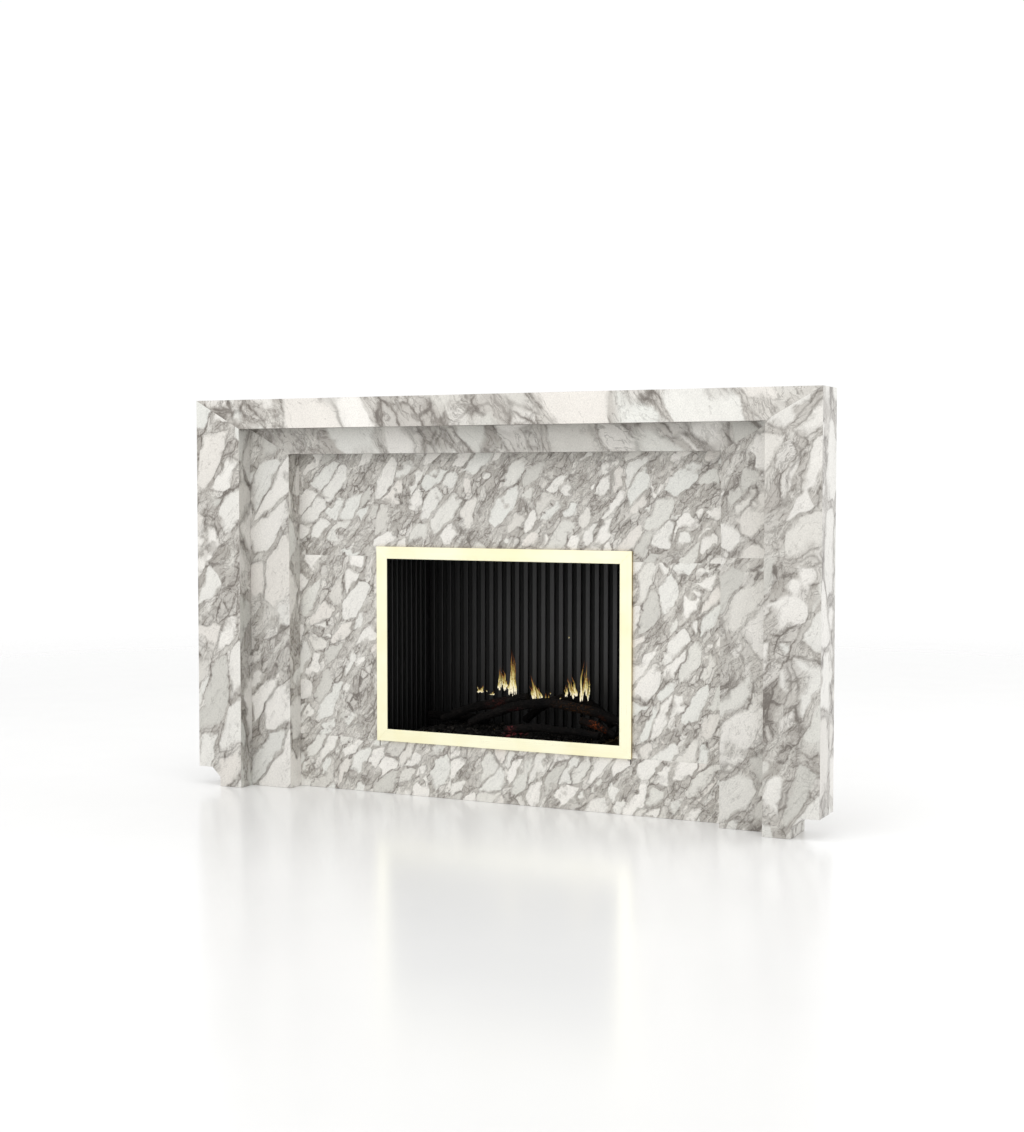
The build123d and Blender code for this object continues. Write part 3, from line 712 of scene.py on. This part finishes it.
# node: lean of the pebbles in degrees from upright, size against the look's, share of ground, tone; the
# low tones of the soffits and the left outer reveal are painted shade
SLABS = {
    "outer_jamb_face_left": (33, 1.45, 0.20, 1.0),
    "outer_jamb_face_right": (30, 1.60, 0.26, 0.97),
    "outer_return_left": (8, 1.15, 0.16, 1.0),
    "outer_return_right": (6, 1.50, 0.16, 0.93),
    # painted shade: the left outer reveal is darkened by its tone
    "outer_reveal_left": (20, 1.50, 0.26, 0.83),
    "outer_reveal_right": (16, 1.05, 0.26, 1.0),
    "foot_return_left": (26, 0.90, 0.22, 1.0),
    "foot_return_right": (38, 0.90, 0.22, 1.0),
    "outer_lintel_face": (-38, 2.60, 0.10, 1.06),
    "outer_lintel_top": (-60, 2.20, 0.12, 1.0),
    # painted shade: the outer soffit is darkened by its tone
    "outer_lintel_soffit": (-44, 2.20, 0.16, 0.60),
    "inner_jamb_face_left": (34, 1.45, 0.30, 0.93),
    "inner_jamb_face_right_lower": (34, 1.30, 0.26, 0.95),
    "inner_jamb_face_right_upper": (28, 1.00, 0.44, 0.93),
    "inner_reveal_left": (24, 1.40, 0.18, 1.0),
    "inner_reveal_right": (18, 0.95, 0.24, 1.0),
    "inner_lintel_face": (-40, 2.60, 0.20, 0.91),
    # painted shade: the inner soffit is darkened by its tone
    "inner_lintel_soffit": (-46, 2.00, 0.22, 0.55),
}
FACING = {
    "facing_top": (38, 1.00, 0.28, 1.01),
    "facing_left": (33, 1.05, 0.24, 1.03),
    "facing_right": (34, 1.10, 0.18, 1.06),
    "facing_bottom_left": (38, 1.00, 0.22, 1.07),
    "facing_bottom_right": (35, 1.00, 0.20, 1.07),
}


STONE_SEED, FACING_SEED = 11, 29


class SURROUND_OT_stone(bpy.types.Operator):
    """Polishes the slabs of both stepped frames, each from its own part of the block"""
    bl_idname = "surround.stone"
    bl_label = "Stepped frames"

    def execute(self, context):
        look = context.scene.surround_marble
        cut_slabs(SLABS, "marble", look.pebble_width, look.pebble_length, STONE_SEED)
        return {"FINISHED"}


class SURROUND_OT_facing(bpy.types.Operator):
    """Polishes the five slabs of the facing round the fire"""
    bl_idname = "surround.facing"
    bl_label = "Facing"

    def execute(self, context):
        look = context.scene.surround_marble
        cut_slabs(FACING, "facing", look.facing_width, look.facing_length, FACING_SEED)
        return {"FINISHED"}


def cut_slabs(slabs, finish, width, length, seed):
    draw = random.Random(seed)
    arris = bpy.context.scene.surround_marble.arris
    for node, (lean, size, loose, tone) in slabs.items():
        offset = tuple(draw.uniform(-9, 9) for _ in range(3))
        dress(node, marble(f"{finish}_{node}", math.radians(lean), width * size, length * size,
                           offset, loose, tone), arris)


# ---- Backing ----

class SURROUND_OT_backing(bpy.types.Operator):
    """Finishes the timber, the fire board and the wall brackets behind the stone"""
    bl_idname = "surround.backing"
    bl_label = "Backing"

    def execute(self, context):
        upright, level = timber("softwood_upright", 2), timber("softwood_level", 0)
        for node in ("outer_stud_left", "outer_stud_right", "inner_stud_left", "inner_stud_right"):
            dress(node, upright, SAWN)
        dress("outer_header", level, SAWN)
        fire_board = board("fire_board")
        for side in ("top", "bottom", "left", "right"):
            dress("backer_" + side, fire_board, MOULDED)
        dress("wall_brackets", zinc("bracket_zinc"), SHEET)
        self.screws(context.scene.surround_fixings, head_tree(zinc("screw_zinc", 0.002, 0.8)))
        return {"FINISHED"}

    def screws(self, look, tree):
        places = []
        for side in ("top", "bottom", "left", "right"):
            low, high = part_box("backer_" + side)
            for stud in ("outer_stud_left", "inner_stud_left", "inner_stud_right", "outer_stud_right"):
                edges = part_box(stud)
                middle = (edges[0].x + edges[1].x) / 2
                if low.x < middle < high.x:
                    places += [(middle, high.y, z)
                               for z in spaced(low.z, high.z, look.screw_pitch, look.margin)]
        low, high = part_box("outer_header")
        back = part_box("backer_top")[1].y
        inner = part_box("inner_stud_right")[0].x - look.margin
        places += [(x, back, (low.z + high.z) / 2)
                   for x in spaced(-inner, inner, look.screw_pitch, 0.0)]
        heads("board_screws", tree, places, "+Y", look.screw_radius, look.screw_height)
        low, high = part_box("wall_brackets")
        half = look.bracket_length / 2
        for side, faces, way in (("left", "-X", -1), ("right", "+X", 1)):
            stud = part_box("outer_stud_" + side)
            face = (stud[0].x if way < 0 else stud[1].x) + way * look.bracket_sheet
            places = [(face, (low.y + high.y) / 2, centre + offset)
                      for centre in (low.z + half, high.z - half) for offset in (-half / 2, half / 2)]
            heads("bracket_screws_" + side, tree, places, faces,
                  look.screw_radius * BRACKET_SCREW[0], look.screw_height * BRACKET_SCREW[1])


# ---- Trim ----

class SURROUND_OT_trim(bpy.types.Operator):
    """Finishes the folded brass trim and its magnets"""
    bl_idname = "surround.trim"
    bl_label = "Brass trim"

    def execute(self, context):
        upright, level = brass("brass_upright", False), brass("brass_level", True)
        for side, finish in (("left", upright), ("right", upright), ("top", level), ("bottom", level)):
            dress("trim_" + side, finish, FOLDED, 30.0, 3)
        dress("trim_magnets", magnet("magnet_nickel"), SHEET)
        return {"FINISHED"}


# ---- Firebox ----

class SURROUND_OT_firebox(bpy.types.Operator):
    """Finishes the steel firebox, its lining, flange, flue and legs"""
    bl_idname = "surround.firebox"
    bl_label = "Firebox"

    def execute(self, context):
        look = context.scene.surround_fire
        black = black_steel("firebox_paint")
        for part in ("floor", "top", "back", "side_left", "side_right"):
            dress("firebox_" + part, black, SHEET)
        dress("mouth_flange", black, THIN)
        for part, axis in (("back", "Y"), ("left", "X"), ("right", "X")):
            low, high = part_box("liner_" + part)
            key = "XY".index(axis)
            groove, crest = (low[key], high[key]) if part == "left" else (high[key], low[key])
            depth = (crest - groove) * look.reed_share
            finish = ribbed_lining("lining_" + part, axis, crest - depth, crest - depth * 0.15)
            dress("liner_" + part, finish, MOULDED, 40.0)
        dress("flue_spigot", zinc("flue_zinc", 0.014), THIN, 50.0)
        leg = zinc("leg_zinc", 0.009, 0.9)
        for side in ("left", "right"):
            dress("stand_" + side, leg, MOULDED)
        self.rivets(context.scene.surround_fixings, head_tree(black))
        return {"FINISHED"}

    def rivets(self, look, tree):
        low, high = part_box("firebox_top")
        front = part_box("backer_top")[1].y
        inset = look.rivet_inset
        along = spaced(low.x, high.x, look.rivet_pitch, inset)
        places = [(x, high.y - inset, high.z) for x in along]
        places += [(x, y, high.z) for x in (low.x + inset, high.x - inset)
                   for y in spaced(front, high.y - look.rivet_pitch / 2, look.rivet_pitch, inset)]
        heads("shell_rivets_top", tree, places, "+Z", look.rivet_radius, look.rivet_height,
              RIVET_RECESS)
        for side, faces in (("left", "-X"), ("right", "+X")):
            low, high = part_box("firebox_side_" + side)
            face = low.x if side == "left" else high.x
            places = [(face, high.y - inset, z) for z in spaced(low.z, high.z, look.rivet_pitch, inset)]
            heads("shell_rivets_" + side, tree, places, faces, look.rivet_radius, look.rivet_height,
                  RIVET_RECESS)


# ---- Gas services ----

class SURROUND_OT_gas(bpy.types.Operator):
    """Finishes the gas valve, its knob and the burner tray"""
    bl_idname = "surround.gas"
    bl_label = "Gas valve and burner"

    def execute(self, context):
        dress("gas_valve", cast_alloy("valve_cast"), CAST)
        dress("valve_knob", moulded("knob_plastic"), MOULDED)
        dress("burner_tray", burner_steel("tray_steel"), PRESSED)
        return {"FINISHED"}


# ---- Embers ----

# centres of the glow among the logs and embers, and how far each reaches, in mm
GLOWS = (((4, 190, 220), 56, shade(232, 112, 118)), ((261, 190, 225), 40, shade(220, 108, 48)),
         ((178, 228, 272), 86, shade(112, 70, 30)), ((-90, 262, 262), 50, shade(96, 44, 38)))


def glow(f, cracks):
    """Emission colour for hot places: nothing away from the glow's centres."""
    spot = f.grain()
    colour = (0.0, 0.0, 0.0, 1.0)
    for (x, y, z), reach, tone in GLOWS:
        away = f.vector("DISTANCE", spot, tuple(at(x, y, z)), out="Value")
        heat = f.step(away, reach / 1000, reach / 5000) * cracks
        colour = f.mix(heat, colour, tone)
    return colour


def ashen(f, cracks, **sockets):
    """Ends a matt finish that glows in its cracks."""
    return f.surface(Specular_IOR_Level=0.12, Emission_Color=glow(f, cracks),
                     Emission_Strength=bpy.context.scene.surround_fire.glow_strength, **sockets)


def ember_finish():
    """Ceramic fibre embers: ash grey to charcoal, some of them hot."""
    f = Finish("ember_fibre")
    spot = f.grain()
    patch = f.cells(spot, 85.0)
    kind = f.parts(patch)
    ash = f.cloud(spot, 160.0, 4.0, 0.65)
    colour = f.ramp(kind * 0.6 + ash * 0.5,
                    tones((0.15, 5, 5, 5), (0.5, 13, 12, 11), (0.75, 28, 26, 24),
                     (0.95, 56, 52, 48)))
    hot = f.step(kind.out("Green") + (ash - 0.5) * 0.6, 0.45, 0.85)
    return ashen(f, hot, Base_Color=colour, Roughness=0.85 + ash * 0.1,
                 Normal=f.bump(ash, 0.0008, 0.8))


BED_GRID = (40, 20)
BED_SWELL = 0.024              # height of the bed's rises and dips together, in metres
WHOLE_TURN = (6.28, 6.28, 6.28)
EMBER_SEED = 7


def ember_tree(material):
    """Embers strewn over a flat bed: points on a grid, a lump on each, turned and sized by chance."""
    add, end, given = geometry_tree("strewn_embers", {
        "Bed width": "Float", "Bed depth": "Float", "Bed place": "Vector", "Density": "Float",
        "Ember size": "Float", "Seed": "Int"})
    bed = add("GeometryNodeMeshGrid", Size_X=given["Bed width"], Size_Y=given["Bed depth"],
              Vertices_X=BED_GRID[0], Vertices_Y=BED_GRID[1])
    swell = add("ShaderNodeTexNoise", Scale=14.0)
    lift = add("ShaderNodeMath", {"operation": "MULTIPLY_ADD"},
               _0=swell["Fac"], _1=BED_SWELL, _2=-BED_SWELL / 2)
    raise_by = add("ShaderNodeCombineXYZ", Z=lift[0])
    place = add("ShaderNodeVectorMath", {"operation": "ADD"},
                _0=raise_by[0], _1=given["Bed place"])
    bed = add("GeometryNodeSetPosition", Geometry=bed["Mesh"], Offset=place[0])
    points = add("GeometryNodeDistributePointsOnFaces", Mesh=bed[0], Density=given["Density"],
                 Seed=given["Seed"])
    lump = add("GeometryNodeMeshIcoSphere", Radius=1.0, Subdivisions=2)
    dent = add("ShaderNodeTexNoise", {"noise_dimensions": "3D"}, Scale=1.3)
    dent = add("ShaderNodeVectorMath", {"operation": "SUBTRACT"},
               _0=dent["Color"], _1=(0.5, 0.5, 0.5))
    dent = add("ShaderNodeVectorMath", {"operation": "SCALE"}, _0=dent[0], Scale=1.3)
    lump = add("GeometryNodeSetPosition", Geometry=lump["Mesh"], Offset=dent[0])
    turn = add("FunctionNodeRandomValue", {"data_type": "FLOAT_VECTOR"}, Max=WHOLE_TURN)
    size = add("FunctionNodeRandomValue", {"data_type": "FLOAT_VECTOR"},
               Min=(0.35, 0.35, 0.28), Max=(1.0, 0.9, 0.7))
    size = add("ShaderNodeVectorMath", {"operation": "SCALE"},
               _0=size[0], Scale=given["Ember size"])
    strewn = add("GeometryNodeInstanceOnPoints", Points=points["Points"],
                 Instance=lump[0], Rotation=turn[0], Scale=size[0])
    return end(strewn[0], material)


class SURROUND_OT_embers(bpy.types.Operator):
    """Strews loose embers over the burner tray"""
    bl_idname = "surround.embers"
    bl_label = "Embers"

    def execute(self, context):
        look = context.scene.surround_fire
        low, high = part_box("ember_bed")
        inset = look.ember_size
        middle = ((low.x + high.x) / 2, (low.y + high.y) / 2, high.z)
        embers = grown("embers", ember_tree(ember_finish()), {
            "Bed width": high.x - low.x - 2 * inset, "Bed depth": high.y - low.y - 2 * inset,
            "Bed place": middle, "Density": look.ember_count, "Ember size": look.ember_size,
            "Seed": EMBER_SEED})
        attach(embers, "surround")
        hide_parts("ember_bed")
        return {"FINISHED"}


# ---- Logs ----

def log_finish(name, seed):
    """Charred bark: black with grey ash on its ridges and brown between, hot in a few cracks."""
    f = Finish(name)
    spot = f.grain(offset=(seed * 0.37, seed * 0.21, seed * 0.13))
    ash = f.cloud(spot, 42.0, 6.0, 0.65, 0.5)
    fine = f.cloud(spot, 260.0, 4.0, 0.6)
    split = f.painted("crack")
    colour = f.ramp(ash, tones((0.30, 6, 6, 6), (0.48, 17, 15, 14), (0.60, 30, 26, 24),
                               (0.72, 48, 43, 40), (0.86, 74, 68, 64)))
    colour = f.mix(split * 0.85, colour, shade(10, 8, 8))
    colour = f.dimmed(colour, 0.24 + fine * 0.70)
    hot = (f.step(split, 0.25, 0.75) + f.step(ash, 0.56, 0.40) * 0.35) * f.step(fine, 0.44, 0.62)
    return ashen(f, hot.least(1.0), Base_Color=colour, Roughness=0.82 + fine * 0.12,
                 Normal=f.bump(fine + ash, 0.0022, 0.9))


def bough(name, start, crest, end, radius, seed, around=72, along=260):
    """A crooked charred branch through three places, with bark ridges, cracks and broken ends."""
    draw = random.Random(seed)
    a, b, c = (np.array(at(*p)) for p in (start, crest, end))
    reach = np.linalg.norm(b - a), np.linalg.norm(c - b)
    middle = reach[0] / sum(reach)
    ts = np.linspace(0, 1, along)
    # quadratic through the three places
    bend = (b - (1 - middle) ** 2 * a - middle ** 2 * c) / (2 * middle * (1 - middle))
    line = ((1 - ts) ** 2)[:, None] * a + (2 * ts * (1 - ts))[:, None] * bend + (ts ** 2)[:, None] * c
    length = np.linalg.norm(np.diff(line, axis=0), axis=1).sum()
    crook = np.array([[noise.noise(Vector((t * length * 9, seed * 3.1, k * 7.7)))
                       for k in range(3)] for t in ts])
    ease = np.sin(np.pi * ts)[:, None]
    line = line + crook * ease * 0.007
    tangent = np.gradient(line, axis=0)
    tangent /= np.linalg.norm(tangent, axis=1)[:, None]
    side = np.cross(tangent, (0.0, 0.0, 1.0))
    side /= np.linalg.norm(side, axis=1)[:, None]
    up = np.cross(side, tangent)
    points, crack = [], []
    r0 = radius / 1000
    knots = [(draw.random(), draw.uniform(0, 2 * math.pi), draw.uniform(0.10, 0.22))
             for _ in range(3)]
    for i, t in enumerate(ts):
        # blunt, slightly broken ends
        tip = min(t, 1 - t) * length
        taper = math.sqrt(max(0.0, 1 - max(0.0, 1 - tip / (0.35 * r0)) ** 2))
        swell = 1.0 + 0.10 * noise.noise(Vector((t * length * 22, seed, 1.7)))
        girth = r0 * swell * (0.90 + 0.10 * math.sin(3.1 * t + seed))
        for j in range(around):
            q = 2 * math.pi * j / around
            cos, sin = math.cos(q), math.sin(q)
            d = cos * side[i] + sin * up[i]
            ridge = noise.fractal(Vector((cos * 5.2 + seed, sin * 5.2, t * length * 26)), 0.9, 2.0, 4)
            warp = noise.noise(Vector((cos * 1.5 + seed * 5, sin * 1.5, t * length * 16))) * 0.9
            plate = noise.voronoi(Vector((cos * 2.7 + seed * 2, sin * 2.7,
                                          t * length * 46 + warp)))[0]
            gap = max(0.0, 1 - (plate[1] - plate[0]) / 0.16)
            lump = sum(k * math.exp(-(((t - kt) * length / 0.016) ** 2)
                                    - ((math.cos(q - kq) - 1) * 4) ** 2)
                       for kt, kq, k in knots)
            r = girth * taper * (0.90 + 0.10 * ridge - 0.13 * gap + lump)
            points.append(line[i] + d * r)
            crack.append(gap)
    faces = [(i * around + j, i * around + (j + 1) % around, (i + 1) * around + (j + 1) % around,
              (i + 1) * around + j) for i in range(along - 1) for j in range(around)]
    for row, forward in ((0, False), (along - 1, True)):
        points.append(line[row])
        crack.append(0.0)
        hub = len(points) - 1
        ring = [row * around + j for j in range(around)]
        for j in range(around):
            pair = (ring[j], ring[(j + 1) % around])
            faces.append((hub,) + (pair if forward else pair[::-1]))
    log = mesh_piece(name, points, faces, log_finish(name + "_bark", seed))
    outward(log)
    layer = log.data.attributes.new("crack", "FLOAT", "POINT")
    layer.data.foreach_set("value", np.array(crack, np.float32))
    return log


# node: start, crest and end in mm, and radius
LOGS = {
    "log_back_left": ((-352, 335, 202), (-250, 330, 207), (-140, 322, 203), 16),
    "log_back_right": ((-25, 322, 204), (112, 320, 280), (262, 318, 210), 16),
    "log_long_left": ((-272, 266, 203), (-158, 270, 245), (12, 276, 280), 16),
    "log_arch": ((-158, 224, 202), (133, 228, 275), (322, 222, 232), 15),
    "log_right": ((208, 192, 238), (266, 191, 223), (318, 190, 199), 12),
    "log_front": ((-10, 163, 200), (132, 161, 211), (280, 165, 200), 14),
}


class SURROUND_OT_logs(bpy.types.Operator):
    """Shapes the six charred logs"""
    bl_idname = "surround.logs"
    bl_label = "Logs"

    def execute(self, context):
        for seed, (node, (start, crest, end, radius)) in enumerate(LOGS.items(), 3):
            fine = ((72, 260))
            log = bough("charred_" + node, start, crest, end, radius, seed, *fine)
            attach(log, "surround")
            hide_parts(node)
        return {"FINISHED"}


# ---- Flames ----

# each flame's x, base z, tip z, half width at its foot and lean at its tip, all in mm
FLAMES = ((-36, 284, 421, 13, -2), (-68, 298, 368, 19, -4), (41, 266, 352, 17, -14),
          (148, 288, 358, 21, -8), (190, 278, 402, 15, 6), (-142, 288, 312, 10, 4),
          (-100, 284, 296, 7, 0), (66, 264, 300, 14, 6))
# each spark's x and z, and the half height and half width of a spark
SPARKS = ((141, 463), (114, 287), (-150, 304), (-120, 296), (205, 330), (84, 300))
SPARK_HEIGHT, SPARK_WIDTH = 3, 1.5
FLAME_PLANE = 266
STRAND_WIDTH = 3.1
STRANDS = 13                   # in a flame FULL_WIDTH wide
FULL_WIDTH = 14
FLAME_SEED = 41


def flame_finish():
    """Burning gas: cream low down, dull gold above, brown and then clear at the tips."""
    f = Finish("flame_glow")
    rise = f.painted("rise")
    lick = f.cloud(f.grain(), 190.0, 4.0, 0.62)
    level = rise + (lick - 0.5) * 1.1
    colour = f.ramp(level, tones((0.0, 206, 194, 172), (0.22, 246, 236, 206), (0.42, 206, 190, 124),
                                 (0.62, 146, 128, 62), (0.80, 122, 74, 36), (1.0, 78, 34, 20)))
    clear = f.step(level, 1.25, 0.60) * f.step(lick, 0.38, 0.54)
    return f.surface(Base_Color=(0.0, 0.0, 0.0, 1.0), Roughness=1.0, Alpha=clear,
                     Emission_Color=colour,
                     Emission_Strength=bpy.context.scene.surround_fire.flame_strength)


def lit_flames():
    """Each flame as a tuft of thin wavering strands, and the sparks as small drops."""
    points, faces, rise = [], [], []
    around, along = 8, 22

    def strand(x, y, base, tip, half, lean, level, seed):
        first = len(points)
        for i in range(along + 1):
            t = i / along
            r = max(0.04, math.sin(math.pi * (0.06 + 0.94 * t ** 0.75)) ** 0.8 * (1 - 0.45 * t)) * half
            sway = noise.noise(Vector((seed * 3.7, t * 2.8, 0.5))) * 9 * t
            dip = noise.noise(Vector((seed * 1.9, t * 2.8, 4.5))) * 7 * t
            for j in range(around):
                q = 2 * math.pi * j / around
                points.append(at(x + lean * t ** 1.5 + sway + math.cos(q) * r,
                                 y + dip + math.sin(q) * r * 0.8, base + (tip - base) * t))
                rise.append(level + (1 - level) * t)
        for i in range(along):
            for j in range(around):
                k = (j + 1) % around
                faces.append((first + i * around + j, first + i * around + k,
                              first + (i + 1) * around + k, first + (i + 1) * around + j))
        faces.append(tuple(first + j for j in range(around))[::-1])
        faces.append(tuple(first + along * around + j for j in range(around)))

    draw = random.Random(FLAME_SEED)
    for number, (x, base, tip, half, lean) in enumerate(FLAMES):
        tall = tip - base
        count = max(3, int(STRANDS * half / FULL_WIDTH))
        for k in range(count):
            off = draw.uniform(-1, 1)
            foot = base + draw.uniform(0, 0.30) * tall * (1 - 0.5 * abs(off))
            reach = tall * (1 - 0.62 * abs(off)) * draw.uniform(0.45, 0.85) if k else tall
            top = min(tip, foot + reach)
            plane = FLAME_PLANE + draw.uniform(-0.7, 0.7) * half
            width = STRAND_WIDTH * draw.uniform(0.55, 1.25)
            slant = lean * (0.4 + 0.6 * (top - base) / tall) - off * half * 0.45
            strand(x + off * half, plane, foot, top, width, slant, 0.7 * (foot - base) / tall,
                   number * 31 + k)
    for seed, (x, z) in enumerate(SPARKS, 500):
        strand(x, FLAME_PLANE, z - SPARK_HEIGHT, z + SPARK_HEIGHT, SPARK_WIDTH, 0.5, 0.1, seed)
    flames = mesh_piece("flames", points, faces, flame_finish())
    outward(flames)
    layer = flames.data.attributes.new("rise", "FLOAT", "POINT")
    layer.data.foreach_set("value", np.array(rise, np.float32))
    return flames


class SURROUND_OT_flames(bpy.types.Operator):
    """Lights the fire"""
    bl_idname = "surround.flames"
    bl_label = "Flames"

    def execute(self, context):
        flames = lit_flames()
        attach(flames, "surround")
        return {"FINISHED"}


# ---- Sidebar ----

STEPS = (SURROUND_OT_stage, SURROUND_OT_stone, SURROUND_OT_facing, SURROUND_OT_backing,
         SURROUND_OT_trim, SURROUND_OT_firebox, SURROUND_OT_gas, SURROUND_OT_embers,
         SURROUND_OT_logs, SURROUND_OT_flames)
LOOKS = {"surround_marble": MarbleLook, "surround_trim": TrimLook, "surround_fire": FireLook,
         "surround_fixings": FixingLook, "surround_stage": StageLook}


class SURROUND_PT_sidebar(bpy.types.Panel):
    """The surround's pieces and their looks"""
    bl_idname = "SURROUND_PT_sidebar"
    bl_label = "Fire surround"
    bl_space_type = "VIEW_3D"
    bl_region_type = "UI"
    bl_category = "Fire surround"

    def draw(self, context):
        for step in STEPS:
            self.layout.operator(step.bl_idname)
        for name, look in LOOKS.items():
            column = self.layout.column(align=True)
            for key in look.__annotations__:
                column.prop(getattr(context.scene, name), key)


def register():
    for group in (*LOOKS.values(), *STEPS, SURROUND_PT_sidebar):
        bpy.utils.register_class(group)
    for name, look in LOOKS.items():
        setattr(bpy.types.Scene, name, PointerProperty(type=look))


def unregister():
    for name in LOOKS:
        delattr(bpy.types.Scene, name)
    for group in reversed((*LOOKS.values(), *STEPS, SURROUND_PT_sidebar)):
        bpy.utils.unregister_class(group)


def main():
    register()
    for step in STEPS:
        family, name = step.bl_idname.split(".")
        getattr(getattr(bpy.ops, family), name)()


if __name__ == "__main__":
    main()
